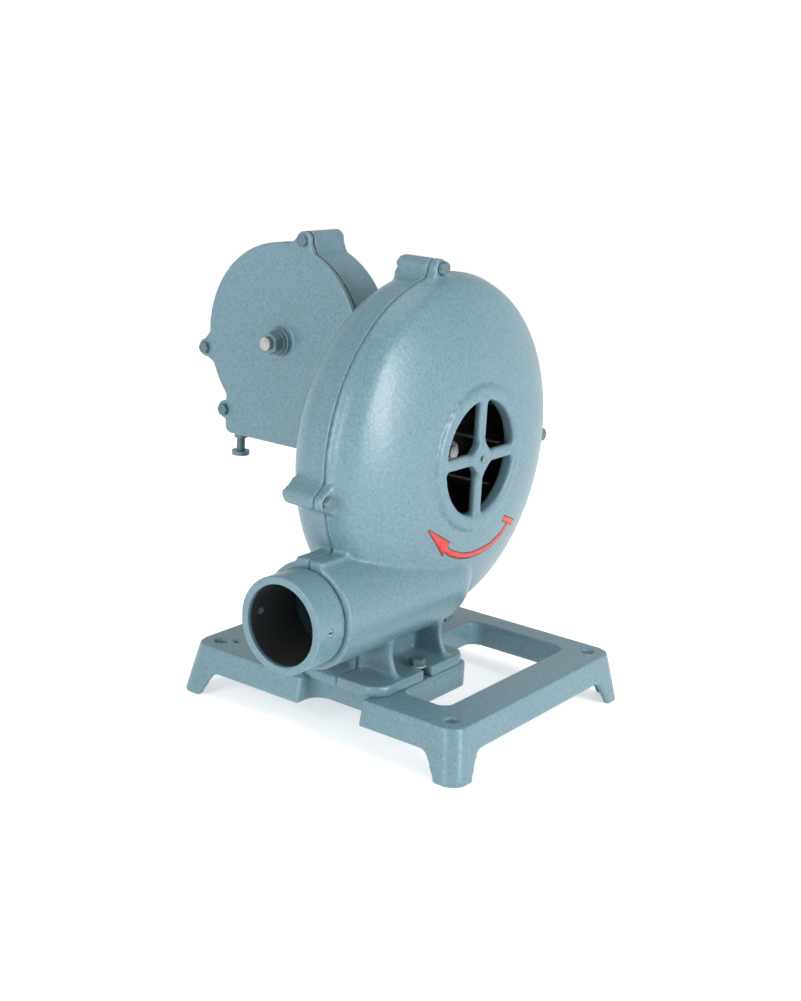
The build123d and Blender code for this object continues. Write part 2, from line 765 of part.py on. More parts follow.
def along_y(at_y, shape):
    """Stand a shape drawn along +Z on the fan axis, its own X pointing up."""
    return Plane(origin=(0, at_y, fan_z), x_dir=(0, 0, 1), z_dir=(0, 1, 0)) * shape


def along_x(at_x, shape):
    """Lay a shape drawn along +Z on the crank axis, its own X pointing along Y."""
    return Plane(origin=(at_x, crank_y, crank_z), x_dir=(0, 1, 0), z_dir=(1, 0, 0)) * shape


def make_fan_shaft():
    """Fan shaft with the worm cut on it; the fan sits on the reduced front end."""
    shaft_end_y = rear_bush_y + rear_bush_length - side_gap
    shoulder_y = seam_y + fan_plate_at + sheet
    nut_end_y = fan_washer_y - washer_thickness - nut_to_thread * fan_seat_r
    shaft = cyl_y(fan_shaft_r, shoulder_y, shaft_end_y, 0, fan_z)
    shaft += cyl_y(fan_seat_r, nut_end_y - 3, shoulder_y, 0, fan_z)
    turn = 360 * worm_length / worm_lead
    thread = twisted(worm_section().face(), worm_length, turn)
    thread = along_y(crank_y - worm_length / 2, Rot(0, 0, -turn / 2) * thread)
    return shaft + thread - fan_key_block(0)


def fan_key_block(extra):
    """Square key half sunk in the fan's seat on the shaft."""
    half = key_size / 2 - 1 + extra
    y0 = fan_washer_y + 8 - extra
    y1 = seam_y + fan_plate_at - 4 + extra
    return block(-half, half, y0, y1, fan_z + fan_seat_r - 1.8, fan_z + fan_seat_r + 1.5 + extra)


def tooth_space():
    """One space between wheel teeth at the bottom of the wheel, flanks bowed like an involute."""
    tip_r = wheel_pitch_r + module
    root_r = wheel_pitch_r - 1.25 * module
    tan = math.tan(math.radians(pressure_angle))
    quarter = axial_pitch / 4 + flank_gap / 2
    points = []
    for r in (root_r, wheel_pitch_r, tip_r + 1):
        half = quarter + (r - wheel_pitch_r) * tan
        points.append((r, half / wheel_pitch_r))
    left = [polar(r, -a) for r, a in points]
    right = [polar(r, a) for r, a in reversed(points)]
    edges = ThreePointArc(*left) + Line(left[-1], right[0]) + ThreePointArc(*right) + Line(right[-1], left[0])
    return make_face(edges)


def wheel_section():
    face = Circle(wheel_pitch_r + module)
    pitch = 360 / wheel_teeth
    spaces = [Rot(0, 0, -90 + (k + 0.5) * pitch) * tooth_space() for k in range(wheel_teeth)]
    face = face - spaces
    return face - Circle(wheel_pitch_r - 1.25 * module - 2)


def make_worm_wheel():
    """Bronze wheel: helical rim, thin web with lightening holes, long hub with a keyway."""
    lean = worm_lead / (2 * math.pi * worm_pitch_r)
    turn = math.degrees(lean * wheel_face / wheel_pitch_r)
    rim_inner = wheel_pitch_r - 1.25 * module - wheel_rim
    teeth = twisted(wheel_section().face(), wheel_face, turn)
    wheel = Rot(0, 0, -turn / 2) * Pos(0, 0, -wheel_face / 2) * teeth
    rim_outer = wheel_pitch_r - 1.25 * module - 2
    wheel = wheel + (cyl_z(rim_outer, -wheel_face / 2, wheel_face / 2, 0, 0)
                     - cyl_z(rim_inner, -wheel_face, wheel_face, 0, 0))
    wheel = wheel + cyl_z(rim_inner + 1, -wheel_web / 2, wheel_web / 2, 0, 0)
    wheel = wheel + cyl_z(wheel_hub_r, -wheel_hub_half, wheel_hub_half, 0, 0)
    hole_circle = (wheel_hub_r + rim_inner) / 2
    for k in range(wheel_hole_count):
        x, y = polar(hole_circle, 2 * math.pi * k / wheel_hole_count)
        wheel = wheel - cyl_z(wheel_hole_r, -wheel_web, wheel_web, x, y)
    wheel = wheel - cyl_z(crank_shaft_r + running_gap, -far, far, 0, 0)
    return along_x(0, wheel) - wheel_key_block(running_gap)


def wheel_key_block(extra):
    half = key_size / 2 + extra
    x1 = wheel_hub_half - 2 + extra
    return block(-x1, x1, crank_y - half, crank_y + half,
                 crank_z + crank_shaft_r - key_size / 2, crank_z + crank_shaft_r + key_size / 2 + extra)


def make_crank_shaft():
    nut_x = crank_washer_x() - washer_thickness - nut_to_thread * crank_end_thread_r
    shaft = cyl_x(crank_shaft_r, crank_washer_x(), arm_hub_x0 + arm_hub_length + 2, crank_y, crank_z)
    shaft += cyl_x(crank_end_thread_r, nut_x - crank_end_tail, crank_washer_x(), crank_y, crank_z)
    return shaft - wheel_key_block(0) - arm_pin_solid(0)


def crank_washer_x():
    return cover_face_x - cover_boss_height - side_gap


def make_crank_end():
    """Washer and nut on the threaded end of the crank shaft, outside the cover."""
    ring = bush(cover_boss_r - 2, crank_end_thread_r + hole_gap, washer_thickness)
    ring = place(ring, (crank_washer_x(), crank_y, crank_z), (-1, 0, 0))
    nut = place(hex_nut(crank_nut_flats, crank_end_thread_r),
                (crank_washer_x() - washer_thickness, crank_y, crank_z), (-1, 0, 0))
    return ring, nut


# ---------------------------------------------------------------- crank and grip
def arm_pin_solid(extra):
    """Taper pin through the arm's hub, shown as a plain round pin."""
    x = arm_hub_x0 + arm_hub_length / 2
    return cyl_y(arm_pin_r + extra, crank_y - arm_hub_r - 1.5, crank_y + arm_hub_r + 1.5, x, crank_z)


def make_crank_arm():
    """Flat bar that steps out past the fan casing, then drops to the grip."""
    hub_x = arm_hub_x0 + arm_hub_length / 2
    start = (hub_x, crank_z)
    knee = (arm_plane_x, crank_z - arm_bend_radius)
    end = (arm_plane_x, crank_z - crank_radius)
    centre = FilletPolyline(start, knee, end, radius=arm_bend_fillet)
    face = trace(centre, arm_thickness)
    bar = Plane(origin=(0, crank_y + arm_width / 2, 0), x_dir=(1, 0, 0), z_dir=(0, -1, 0)) * face
    arm = extrude(bar, arm_width)
    arm = arm - cyl_x(arm_width, 0, far, crank_y, crank_z - crank_radius - arm_width)
    eye_x0 = arm_plane_x - arm_thickness / 2
    eye_x1 = arm_plane_x + arm_thickness / 2 + 2
    arm = arm + cyl_x(arm_hub_r, arm_hub_x0, arm_hub_x0 + arm_hub_length, crank_y, crank_z)
    arm = arm + cyl_x(arm_eye_r, eye_x0, eye_x1, crank_y, crank_z - crank_radius)
    arm = arm - cyl_x(crank_shaft_r + running_gap, 0, arm_hub_x0 + arm_hub_length + 40, crank_y, crank_z)
    arm = arm - cyl_x(grip_thread_r + hole_gap, eye_x0 - 1, eye_x1 + 1, crank_y, crank_z - crank_radius)
    return arm - arm_pin_solid(running_gap)


def grip_face_x():
    return arm_plane_x + arm_thickness / 2 + 2


def make_grip_pin():
    """Shouldered pin that the grip turns on, its round head keeping the grip on."""
    z = crank_z - crank_radius
    x0 = grip_face_x()
    x1 = x0 + grip_length + 2 * side_gap
    pin = cyl_x(grip_pin_r, x0, x1, crank_y, z)
    pin += cyl_x(grip_r * 0.7, x1, x1 + 4, crank_y, z)
    tail = arm_thickness + 2 + nut_to_thread * grip_thread_r + 2
    return pin + cyl_x(grip_thread_r, x0 - tail, x0, crank_y, z)


def make_grip_nut():
    at = (arm_plane_x - arm_thickness / 2, crank_y, crank_z - crank_radius)
    return place(hex_nut(grip_nut_flats, grip_thread_r), at, (-1, 0, 0))


def make_grip():
    """Turned wooden grip: barrel shape, bored for its pin."""
    end_r = grip_r * 0.74
    path = Polyline((0, 0), (end_r, 0))
    path += ThreePointArc((end_r, 0), (grip_r, grip_length * 0.45), (end_r, grip_length))
    path += Polyline((end_r, grip_length), (0, grip_length), (0, 0))
    grip = revolve(Plane.XZ * make_face(path), Axis.Z)
    grip = grip - cyl_z(grip_pin_r + 2 * running_gap, -1, grip_length + 1, 0, 0)
    return place(grip, (grip_face_x() + side_gap, crank_y, crank_z - crank_radius), (1, 0, 0))


# ---------------------------------------------------------------- fan wheel
def make_fan_hub():
    y1 = seam_y + fan_plate_at + sheet
    y0 = fan_washer_y
    plate_y = seam_y + fan_plate_at
    hub = cyl_y(hub_r, y0, y1, 0, fan_z) + cyl_y(hub_flange_r, plate_y - hub_flange, plate_y, 0, fan_z)
    for x, z in hub_rivet_points():
        hub = hub - cyl_y(rivet_r + running_gap, y0, y1, x, z)
    return hub - cyl_y(fan_seat_r + running_gap, y0 - 1, y1 + 1, 0, fan_z) - fan_key_block(running_gap)


def hub_rivet_points():
    points = []
    for k in range(hub_rivet_count):
        x, z = polar((hub_r + hub_flange_r) / 2, 2 * math.pi * k / hub_rivet_count)
        points.append((x, fan_z + z))
    return points


def blade_rivet_points():
    points = []
    for k in range(blade_count):
        for share in (0.2, 0.8):
            radius = fan_eye_r + share * (fan_r - fan_eye_r)
            angle = 2 * math.pi * k / blade_count + math.atan2(blade_tab / 2 + sheet / 2, radius)
            x, z = polar(radius, angle)
            points.append((x, fan_z + z))
    return points


def make_fan_plate():
    y0 = seam_y + fan_plate_at
    plate = cyl_y(fan_r, y0, y0 + sheet, 0, fan_z) - cyl_y(hub_r + hole_gap, y0 - 1, y0 + 5, 0, fan_z)
    for x, z in hub_rivet_points() + blade_rivet_points():
        plate = plate - cyl_y(rivet_r + running_gap, y0 - 1, y0 + 5, x, z)
    return plate


def make_fan_blades():
    """Flat paddles, each bent over at the plate into a riveted tab."""
    plate_y = seam_y + fan_plate_at
    blade = block(fan_eye_r, fan_r, seam_y - fan_front, plate_y, -sheet / 2, sheet / 2)
    blade += block(fan_eye_r, fan_r - 2, plate_y - sheet, plate_y, 0, blade_tab + sheet / 2)
    blades = []
    for k in range(blade_count):
        turned = Pos(0, 0, fan_z) * Rot(0, -360 * k / blade_count, 0) * blade
        for x, z in blade_rivet_points()[2 * k:2 * k + 2]:
            turned = turned - cyl_y(rivet_r + running_gap, plate_y - 9, plate_y + 9, x, z)
        blades.append(turned)
    return blades


def rivet(x, z, front_y, back_y):
    body = cyl_y(rivet_r, front_y, back_y, x, z)
    return body + cyl_y(rivet_r * 1.7, front_y - 1.3, front_y, x, z) + cyl_y(rivet_r * 1.7, back_y, back_y + 1.3, x, z)


def make_fan_rivets():
    plate_y = seam_y + fan_plate_at
    back = plate_y + sheet
    rivets = [rivet(x, z, plate_y - hub_flange, back) for x, z in hub_rivet_points()]
    return rivets + [rivet(x, z, plate_y - sheet, back) for x, z in blade_rivet_points()]


def make_fan_end():
    ring = place(bush(hub_r - 4, fan_seat_r + hole_gap, washer_thickness), (0, fan_washer_y, fan_z), (0, -1, 0))
    nut = place(hex_nut(fan_nut_flats, fan_seat_r), (0, fan_washer_y - washer_thickness, fan_z), (0, -1, 0))
    return ring, nut


# ---------------------------------------------------------------- all nodes
def build_static():
    save("base_frame", make_base())
    save("housing_front", make_housing_front())
    save("housing_rear", make_housing_rear())
    save("outlet_nozzle", make_nozzle())
    save("gear_case", make_gear_case())
    save("gear_cover", make_gear_cover())
    save("cover_gasket", make_cover_gasket())
    save("shaft_seal", make_shaft_seal())
    save("thrust_plug", make_thrust_plug())
    front_bush, rear_bush = make_fan_bushes()
    save("fan_bush_front", front_bush)
    save("fan_bush_rear", rear_bush)
    cover_bush, case_bush = make_crank_bushes()
    save("crank_bush_cover", cover_bush)
    save("crank_bush_case", case_bush)
    plug, ring = make_drain()
    save("drain_plug", plug)
    save("drain_washer", ring)
    save_group("casing_bolts", make_casing_bolts())
    bolts, nuts = make_neck_bolts()
    save_group("neck_bolts", bolts)
    save_group("neck_nuts", nuts)
    bolts, washers, nuts = make_foot_fasteners()
    save_group("foot_bolts", bolts)
    save_group("foot_washers", washers)
    save_group("foot_nuts", nuts)
    save_group("cover_screws", make_cover_screws())
    save_group("nozzle_set_screws", make_set_screws())


def build_fan():
    save("fan_shaft", make_fan_shaft())
    save("fan_key", fan_key_block(0))
    save("fan_hub", make_fan_hub())
    save("fan_plate", make_fan_plate())
    save_group("fan_blades", make_fan_blades())
    save_group("fan_rivets", make_fan_rivets())
    ring, nut = make_fan_end()
    save("fan_washer", ring)
    save("fan_nut", nut)


def build_crank():
    save("crank_shaft", make_crank_shaft())
    save("worm_wheel", make_worm_wheel())
    save("wheel_key", wheel_key_block(0))
    ring, nut = make_crank_end()
    save("crank_end_washer", ring)
    save("crank_end_nut", nut)
    save("crank_arm", make_crank_arm())
    save("arm_pin", arm_pin_solid(0))
    save("grip_pin", make_grip_pin())
    save("grip_nut", make_grip_nut())
    save("grip", make_grip())


build_static()
build_fan()
build_crank()
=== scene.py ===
import json
import math

import bmesh
import bpy
from mathutils import Matrix, Vector
from mathutils.bvhtree import BVHTree


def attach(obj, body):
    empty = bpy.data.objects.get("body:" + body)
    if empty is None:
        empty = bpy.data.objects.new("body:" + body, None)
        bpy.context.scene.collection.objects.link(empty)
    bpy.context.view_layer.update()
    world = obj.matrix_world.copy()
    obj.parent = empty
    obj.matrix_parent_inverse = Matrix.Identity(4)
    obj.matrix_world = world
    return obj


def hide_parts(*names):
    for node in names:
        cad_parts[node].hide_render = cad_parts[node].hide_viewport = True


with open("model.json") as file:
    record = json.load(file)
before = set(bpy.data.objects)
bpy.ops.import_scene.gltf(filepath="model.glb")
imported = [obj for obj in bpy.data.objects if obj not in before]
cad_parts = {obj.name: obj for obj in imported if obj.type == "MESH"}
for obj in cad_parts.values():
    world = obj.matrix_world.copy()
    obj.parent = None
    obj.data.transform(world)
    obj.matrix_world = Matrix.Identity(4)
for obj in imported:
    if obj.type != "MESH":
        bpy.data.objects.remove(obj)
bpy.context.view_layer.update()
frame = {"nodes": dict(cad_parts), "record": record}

nodes = frame["nodes"]
slotOf = {entry["node"]: entry["material_slot"] for entry in frame["record"]["subparts"]}
mm = 0.001        # one millimetre in metres
mergeReach = 2e-6        # corners closer than this are one corner, metres
print("frame loaded:", len(nodes), "nodes")


def newObject(name, mesh, smooth=True):
    obj = bpy.data.objects.new(name, mesh)
    bpy.context.scene.collection.objects.link(obj)
    for face in mesh.polygons:
        face.use_smooth = smooth
    return obj


def bakeModifiers(obj):
    graph = bpy.context.evaluated_depsgraph_get()
    mesh = bpy.data.meshes.new_from_object(obj.evaluated_get(graph))
    mesh.name = obj.name
    old = obj.data
    obj.modifiers.clear()
    obj.data = mesh
    bpy.data.meshes.remove(old)


def meshFrom(bm, name):
    mesh = bpy.data.meshes.new(name)
    bm.to_mesh(mesh)
    bm.free()
    return mesh


def mergedShape(node):
    bm = bmesh.new()
    bm.from_mesh(nodes[node].data)
    bmesh.ops.remove_doubles(bm, verts=bm.verts, dist=mergeReach)
    return bm


def bodyOf(node):
    return next(body for body, members in frame["record"]["behaviour"]["bodies"].items() if node in members)


# puts a finished piece in place of its CAD node
def standFor(obj, node):
    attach(obj, bodyOf(node))
    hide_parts(node)


# one material being put together: each function adds a node and gives back its output
class Shader:
    def __init__(self, name):
        self.material = bpy.data.materials.new(name)
        self.material.use_nodes = True
        self.tree = self.material.node_tree
        self.surface = self.tree.nodes["Principled BSDF"]
        self.coords = self.tree.nodes.new("ShaderNodeTexCoord").outputs["Object"]

    def add(self, kind, **settings):
        node = self.tree.nodes.new(kind)
        for key, value in settings.items():
            setattr(node, key, value)
        return node

    def link(self, source, target):
        self.tree.links.new(source, target)

    def placed(self, stretch):
        if stretch is None:
            return self.coords
        mapping = self.add("ShaderNodeMapping")
        mapping.inputs["Scale"].default_value = stretch
        self.link(self.coords, mapping.inputs["Vector"])
        return mapping.outputs["Vector"]

    def noise(self, scale, detail=2.0, roughness=0.5, stretch=None):
        node = self.add("ShaderNodeTexNoise")
        node.inputs["Scale"].default_value = scale
        node.inputs["Detail"].default_value = detail
        node.inputs["Roughness"].default_value = roughness
        self.link(self.placed(stretch), node.inputs["Vector"])
        return node.outputs["Fac"]

    def cells(self, scale):
        node = self.add("ShaderNodeTexVoronoi", feature="SMOOTH_F1")
        node.inputs["Scale"].default_value = scale
        self.link(self.coords, node.inputs["Vector"])
        return node.outputs["Distance"]

    def ramp(self, fac, stops):
        node = self.add("ShaderNodeValToRGB")
        ramp = node.color_ramp
        while len(ramp.elements) < len(stops):
            ramp.elements.new(0.5)
        for element, (position, colour) in zip(ramp.elements, stops):
            element.position = position
            element.color = (*colour, 1.0)
        self.link(fac, node.inputs["Fac"])
        return node.outputs["Color"]

    def level(self, fac, low, high, start=0.0, end=1.0):
        node = self.add("ShaderNodeMapRange")
        node.inputs["From Min"].default_value = start
        node.inputs["From Max"].default_value = end
        node.inputs["To Min"].default_value = low
        node.inputs["To Max"].default_value = high
        self.link(fac, node.inputs["Value"])
        return node.outputs["Result"]

    def mix(self, fac, first, second):
        node = self.add("ShaderNodeMix", data_type="RGBA", blend_type="MIX")
        if isinstance(fac, float):
            node.inputs["Factor"].default_value = fac
        else:
            self.link(fac, node.inputs["Factor"])
        colourSockets = [socket for socket in node.inputs if socket.type == "RGBA"]
        for socket, value in zip(colourSockets, (first, second)):
            if isinstance(value, tuple):
                socket.default_value = (*value, 1.0)
            else:
                self.link(value, socket)
        return next(socket for socket in node.outputs if socket.type == "RGBA")

    def maths(self, operation, first, second):
        node = self.add("ShaderNodeMath", operation=operation)
        for socket, value in zip(node.inputs, (first, second)):
            if isinstance(value, float):
                socket.default_value = value
            else:
                self.link(value, socket)
        return node.outputs["Value"]

    def bump(self, height, strength, distance, under=None):
        node = self.add("ShaderNodeBump")
        node.inputs["Strength"].default_value = strength
        node.inputs["Distance"].default_value = distance
        self.link(height, node.inputs["Height"])
        if under is not None:
            self.link(under, node.inputs["Normal"])
        return node.outputs["Normal"]

    def edge(self, low, high):
        node = self.add("ShaderNodeNewGeometry")
        return self.level(node.outputs["Pointiness"], 0.0, 1.0, low, high)

    def finish(self, colour, roughness, normal=None, metallic=0.0, specular=0.5):
        for socket, value in (("Base Color", colour), ("Roughness", roughness), ("Normal", normal)):
            if isinstance(value, tuple):
                self.surface.inputs[socket].default_value = (*value, 1.0)
            elif isinstance(value, float):
                self.surface.inputs[socket].default_value = value
            elif value is not None:
                self.link(value, self.surface.inputs[socket])
        self.surface.inputs["Metallic"].default_value = metallic
        self.surface.inputs["Specular IOR Level"].default_value = specular
        return self.material


def shaded(colour, share):
    return tuple(channel * share for channel in colour)


# blue-grey hammertone enamel: speckled, dimpled, pale on the edges as painted highlight and wear, darker in
# corners as dust and painted shade
paint = {
    "body": (0.118, 0.212, 0.252),
    "light": (0.195, 0.312, 0.358),
    "dark": (0.060, 0.122, 0.150),
    "speckleScale": 520.0,
    "dimpleScale": 330.0,
    "cloudScale": 9.0,
    "dirtAndShadePatchScale": 60.0,
    "grainScale": 130.0,
    "cloudShare": 0.45,
    "cloudTones": (0.88, 1.06),
    "rimShare": 0.30,
    "rimTones": (1.25, 0.80),
    "wornAndHighlightFrom": (0.525, 0.60),        # pointiness where the edges start to pale, and where they are pale: painted highlight on rounded edges, and wear
    "dirtAndShadeFrom": (0.485, 0.42),        # pointiness where the darkening of hollows starts, and where it is full: dust and painted shade
    "dirtAndShadeShare": 0.65,
    "dirtAndShadeTone": 0.45,
    "grain": (0.16, 0.0007),        # strength, and depth in metres
    "dimple": (0.26, 0.0005),
    "roughness": (0.24, 0.42),
    "specular": 0.55,
}


def hammertonePaint(name, tone=1.0, wearAndHighlight=0.35):
    s = Shader(name)
    body, light, dark = (shaded(paint[key], tone) for key in ("body", "light", "dark"))
    speckle = s.noise(paint["speckleScale"], detail=4.0, roughness=0.7)
    cells = s.cells(paint["dimpleScale"])
    mottled = s.ramp(speckle, [(0.30, dark), (0.48, body), (0.56, body), (0.76, light)])
    cloudLow, cloudHigh = (shaded(body, share) for share in paint["cloudTones"])
    cloud = s.ramp(s.noise(paint["cloudScale"], detail=4.0), [(0.3, cloudLow), (0.7, cloudHigh)])
    colour = s.mix(paint["cloudShare"], mottled, cloud)
    rimLight, rimDark = (shaded(body, share) for share in paint["rimTones"])
    rims = s.ramp(cells, [(0.18, rimLight), (0.55, rimDark)])
    colour = s.mix(paint["rimShare"], colour, rims)
    # paler edges: a painted highlight on the rounded edges, and wear
    colour = s.mix(s.maths("MULTIPLY", s.edge(*paint["wornAndHighlightFrom"]), wearAndHighlight), colour, light)
    # hollows darker in patches: dust and painted shade
    patches = s.level(s.noise(paint["dirtAndShadePatchScale"], detail=5.0), 0.2, 1.0, 0.35, 0.65)
    dirtAndShade = s.maths("MULTIPLY", s.edge(*paint["dirtAndShadeFrom"]), patches)
    dirtAndShade = s.maths("MULTIPLY", dirtAndShade, paint["dirtAndShadeShare"])
    colour = s.mix(dirtAndShade, colour, shaded(dark, paint["dirtAndShadeTone"]))
    grain = s.bump(s.noise(paint["grainScale"], detail=5.0), *paint["grain"])
    normal = s.bump(cells, *paint["dimple"], grain)
    roughness = s.level(speckle, *paint["roughness"], 0.3, 0.7)
    return s.finish(colour, roughness, normal, specular=paint["specular"])


def blackenedSteel(name):
    s = Shader(name)
    blued, rust, rubbed = (0.045, 0.085, 0.100), (0.16, 0.12, 0.09), (0.42, 0.44, 0.45)
    patches = s.noise(220.0, detail=4.0, roughness=0.6)
    colour = s.ramp(patches, [(0.30, shaded(blued, 0.55)), (0.60, blued), (0.80, rust)])
    colour = s.mix(s.edge(0.52, 0.62), colour, rubbed)
    normal = s.bump(s.noise(900.0, detail=3.0), 0.25, 0.0003)
    return s.finish(colour, s.level(patches, 0.32, 0.55, 0.3, 0.7), normal, metallic=0.75)


def turnedSteel(name):
    s = Shader(name)
    rings = s.noise(40.0, detail=2.0, stretch=(60.0, 60.0, 60.0))
    colour = s.ramp(s.noise(120.0, detail=4.0), [(0.3, (0.30, 0.30, 0.31)), (0.7, (0.50, 0.51, 0.52))])
    normal = s.bump(rings, 0.12, 0.0002)
    return s.finish(colour, s.level(rings, 0.22, 0.42), normal, metallic=1.0)


def dullAluminium(name):
    s = Shader(name)
    colour = s.ramp(s.noise(90.0, detail=5.0), [(0.3, (0.16, 0.165, 0.17)), (0.7, (0.30, 0.305, 0.31))])
    normal = s.bump(s.noise(700.0, detail=3.0), 0.3, 0.0003)
    return s.finish(colour, s.level(s.noise(300.0), 0.45, 0.65), normal, metallic=0.9)


def bushBronze(name):
    s = Shader(name)
    colour = s.ramp(s.noise(130.0, detail=4.0), [(0.3, (0.30, 0.17, 0.055)), (0.7, (0.52, 0.33, 0.12))])
    normal = s.bump(s.noise(800.0), 0.2, 0.0002)
    return s.finish(colour, s.level(s.noise(260.0), 0.28, 0.45), normal, metallic=1.0)


def plainMatter(name, base, roughness):
    s = Shader(name)
    colour = s.ramp(s.noise(500.0, detail=4.0), [(0.3, shaded(base, 0.7)), (0.7, base)])
    normal = s.bump(s.noise(1200.0), 0.3, 0.0003)
    return s.finish(colour, roughness, normal)


def oiledWood(name):
    s = Shader(name)
    grain = s.noise(55.0, detail=6.0, roughness=0.6, stretch=(0.08, 1.0, 1.0))        # runs along the grip
    fine = s.noise(700.0, detail=3.0, roughness=0.6, stretch=(0.05, 1.0, 1.0))
    coarseShare = s.maths("MULTIPLY", grain, 0.7)
    fineShare = s.maths("MULTIPLY", fine, 0.3)
    streaks = s.maths("ADD", coarseShare, fineShare)
    heart, warm, pale = (0.10, 0.045, 0.018), (0.26, 0.13, 0.055), (0.42, 0.24, 0.11)
    colour = s.ramp(streaks, [(0.35, heart), (0.50, warm), (0.66, pale)])
    normal = s.bump(fine, 0.35, 0.0004)
    return s.finish(colour, s.level(grain, 0.32, 0.5), normal, specular=0.45)


finishes = {
    "hammertone_casting": hammertonePaint("hammertonePaint"),
    "hammertone_forging": hammertonePaint("hammertonePaintArm", 0.92),
    "blackened_steel": blackenedSteel("blackenedSteel"),
    "bronze": bushBronze("bronze"),
    "seal_rubber": plainMatter("sealRubber", (0.02, 0.02, 0.02), 0.7),
    "gasket_fibre": plainMatter("gasketFibre", (0.12, 0.10, 0.07), 0.85),
    "bare_steel": turnedSteel("turnedSteel"),
    "fan_aluminium": dullAluminium("dullAluminium"),
    "grip_wood": oiledWood("oiledWood"),
}
# near-black on the inner faces of the castings: painted shade where the insides lie in shadow
innerShade = plainMatter("bareInnerIron", (0.022, 0.027, 0.030), 0.7)
paintedSteel = hammertonePaint("paintedSteel", 0.62, wearAndHighlight=0.8)
paintedOver = ("crank_end_nut", "crank_end_washer", "crank_bush_cover", "drain_plug", "thrust_plug")
for node, slotName in slotOf.items():
    cadMesh = nodes[node].data
    cadMesh.materials.clear()
    cadMesh.materials.append(paintedSteel if node in paintedOver else finishes[slotName])
print("finishes made:", len(finishes))

# castings: soft as-cast edges on copies of the machined shapes, voxel sizes in mm
castings = {
    "base_frame": dict(voxel=1.7, rounds=4),
    "housing_front": dict(voxel=1.9, rounds=4),
    "housing_rear": dict(voxel=2.0, rounds=4),
    "outlet_nozzle": dict(voxel=1.0, rounds=3),
    "gear_case": dict(voxel=1.4, rounds=3),
    "gear_cover": dict(voxel=1.2, rounds=3),
    "crank_arm": dict(voxel=0.9, rounds=3),
}


def castPiece(node, sizes):
    bm = mergedShape(node)
    bmesh.ops.recalc_face_normals(bm, faces=bm.faces)
    obj = newObject(node + "_cast", meshFrom(bm, node + "_cast"))
    remesh = obj.modifiers.new("remesh", "REMESH")
    remesh.mode = "VOXEL"
    remesh.voxel_size = sizes["voxel"] * mm
    relax = obj.modifiers.new("relax", "SMOOTH")
    relax.factor = 0.5
    relax.iterations = sizes["rounds"]
    bakeModifiers(obj)
    for face in obj.data.polygons:
        face.use_smooth = True
    obj.data.materials.clear()
    obj.data.materials.append(finishes[slotOf[node]])
    standFor(obj, node)
    print("casting", node, len(obj.data.polygons))
    return obj


castPieces = {node: castPiece(node, sizes) for node, sizes in castings.items()}

# where the castings are painted near-black inside as shade, mm
casing = {
    "axis": (6.0, 188.0),        # X and Z of the fan's axis
    "seamY": -15.0,
    "wallRadius": 149.5,        # between the inner and the outer face of the wall
    "rimRadius": 132.0,        # from here on the wall faces the axis
    "rimDepth": 50.0,
    "guardRadius": 56.0,        # the guard inside this gets no painted shade
    "rimLean": 0.25,        # least share of a face's normal that points to the axis
    "cheekLean": 0.3,        # least share that points to the seam
}
outlet = {
    "axis": (-15.0, 74.3),        # Y and Z of the outlet's axis
    "ductRadius": 62.0,
    "ductEndX": -5.0,
    "boreRadius": 38.0,
    "boreLean": 0.4,
    "lipX": -192.0,        # the rim past this gets no painted shade
}


def inCasing(centre, normal):
    out = Vector((centre.x - casing["axis"][0], centre.z - casing["axis"][1]))
    fromBore = Vector((centre.y - outlet["axis"][0], centre.z - outlet["axis"][1]))
    awayFromBore = normal.y * fromBore.x + normal.z * fromBore.y > 0
    onDuct = centre.x < outlet["ductEndX"] and fromBore.length < outlet["ductRadius"] and awayFromBore
    if out.length > casing["wallRadius"] or onDuct:
        return False
    fromSeam = centre.y - casing["seamY"]
    if out.length > casing["rimRadius"]:
        radial = normal.x * out.x + normal.z * out.y
        return radial < -casing["rimLean"] * out.length and abs(fromSeam) < casing["rimDepth"]
    return out.length > casing["guardRadius"] and normal.y * fromSeam < -casing["cheekLean"] * abs(fromSeam)


def inOutlet(centre, normal):
    out = Vector((centre.y - outlet["axis"][0], centre.z - outlet["axis"][1]))
    radial = normal.y * out.x + normal.z * out.y
    onBore = out.length < outlet["boreRadius"] and radial < -outlet["boreLean"] * out.length
    return onBore and centre.x > outlet["lipX"]


# gives the inner faces that pass the test the near-black painted shade
def darkInside(node, isInside):
    mesh = castPieces[node].data
    mesh.materials.append(innerShade)
    for face in mesh.polygons:
        if isInside(face.center / mm, face.normal):
            face.material_index = 1


darkInside("housing_front", inCasing)
darkInside("housing_rear", inCasing)
darkInside("outlet_nozzle", inOutlet)
print("castings darkened inside")

# screws and nuts: sizes in mm, and the way each head or outer face points
bolts = {
    "casing_bolts": dict(flats=11.0, head=4.5, radius=3.5, facing=(0, -1, 0)),
    "neck_bolts": dict(flats=11.0, head=4.5, radius=3.5, facing=(0, 1, 0)),
    "foot_bolts": dict(flats=13.0, head=5.2, radius=4.0, facing=(0, 0, 1)),
    "cover_screws": dict(flats=10.0, head=4.0, radius=3.0, facing=(-1, 0, 0)),
}
nuts = {
    "neck_nuts": dict(flats=11.0, radius=3.5, facing=(0, -1, 0)),
    "foot_nuts": dict(flats=13.0, radius=4.0, facing=(0, 0, -1)),
}
thread = dict(pitch=1.25, depth=0.35, tip=0.7, tipDrop=0.8, startDrop=0.1, crestDrop=0.05, neck=0.3)
templateSteps = 48        # corners round a screw, a multiple of six
fastenerSeed = 7
mostTurn = math.pi / 3        # a head looks the same after a sixth of a turn


